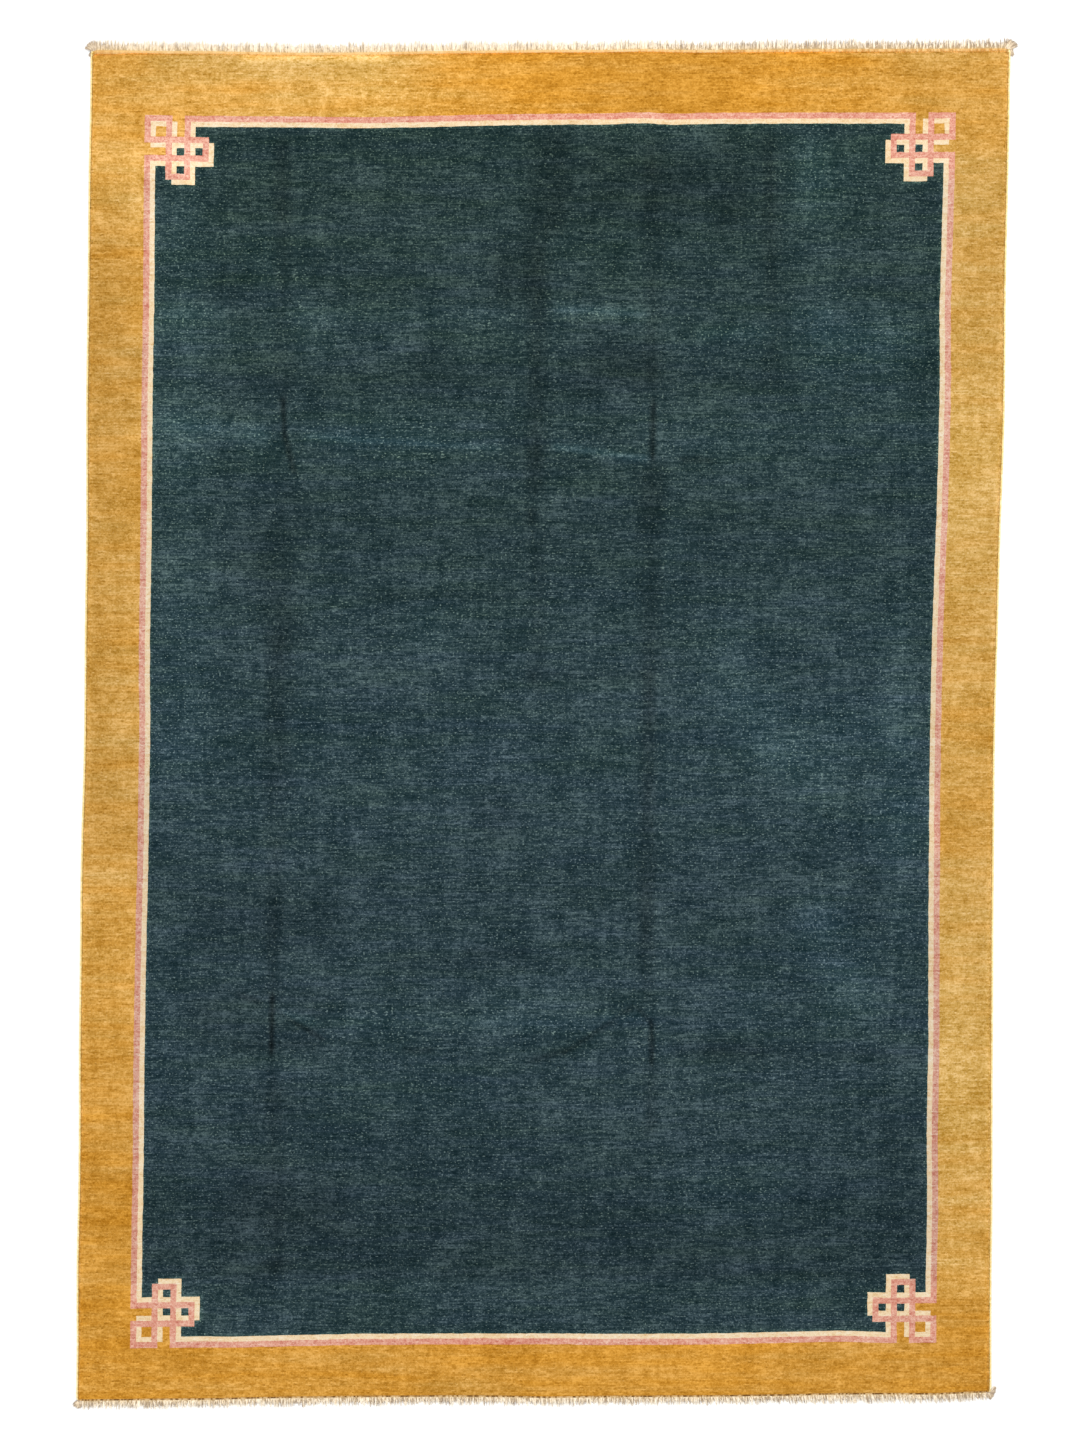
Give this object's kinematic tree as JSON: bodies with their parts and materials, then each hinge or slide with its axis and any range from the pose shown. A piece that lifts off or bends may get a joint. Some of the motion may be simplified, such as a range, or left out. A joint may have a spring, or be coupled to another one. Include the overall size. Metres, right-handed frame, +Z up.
{
  "type": "rug",
  "caption": "Hand-knotted pile rug lying flat, gold border, blue-green field, knotted-corner guard stripes and short fringed ends.",
  "frame": {"origin": "centre of the bottom of the rug's whole footprint, on the floor it lies on", "axes": "+X across the rug's width, +Y along its length towards its top end, +Z up from the floor to the pile face"},
  "size_m": [2.0822, 2.9922, 0.0161],
  "materials": {
    "pile": "matte wool pile",
    "overcast": "matte wound wool",
    "warp": "matte undyed wool warp"
  },
  "bodies": {
    "root": {"carpet": "pile", "selvedge_left": "overcast", "selvedge_right": "overcast", "fringe_top": "warp", "fringe_bottom": "warp"}
  },
  "joints": []
}
